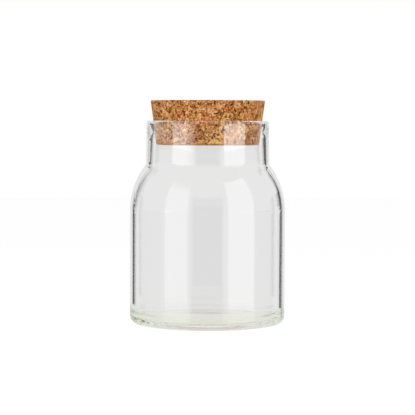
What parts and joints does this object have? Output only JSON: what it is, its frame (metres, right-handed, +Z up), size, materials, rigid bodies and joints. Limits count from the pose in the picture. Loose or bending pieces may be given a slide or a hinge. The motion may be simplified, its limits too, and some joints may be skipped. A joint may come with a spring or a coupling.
{
  "type": "glass jar with cork lid",
  "caption": "Round clear glass storage jar with a drawn-in shoulder and short neck, closed by a tapered cork stopper that lifts out of the mouth.",
  "frame": {"origin": "centre of the ring that the jar stands on, at the level of the table", "axes": "+Z up along the jar's axis, towards the stopper; the jar and stopper are round, so X and Y are any two level directions"},
  "size_m": [0.085, 0.085, 0.1221],
  "materials": {
    "clear_glass": "gloss",
    "cork": "matte"
  },
  "bodies": {
    "jar": {"glass_jar": "clear_glass"},
    "stopper": {"cork_stopper": "cork"}
  },
  "joints": [
    {"name": "stopper_lift", "type": "slide", "parent": "jar", "child": "stopper", "axis": [0, 0, 1], "range_m": [0, 0.06]}
  ]
}
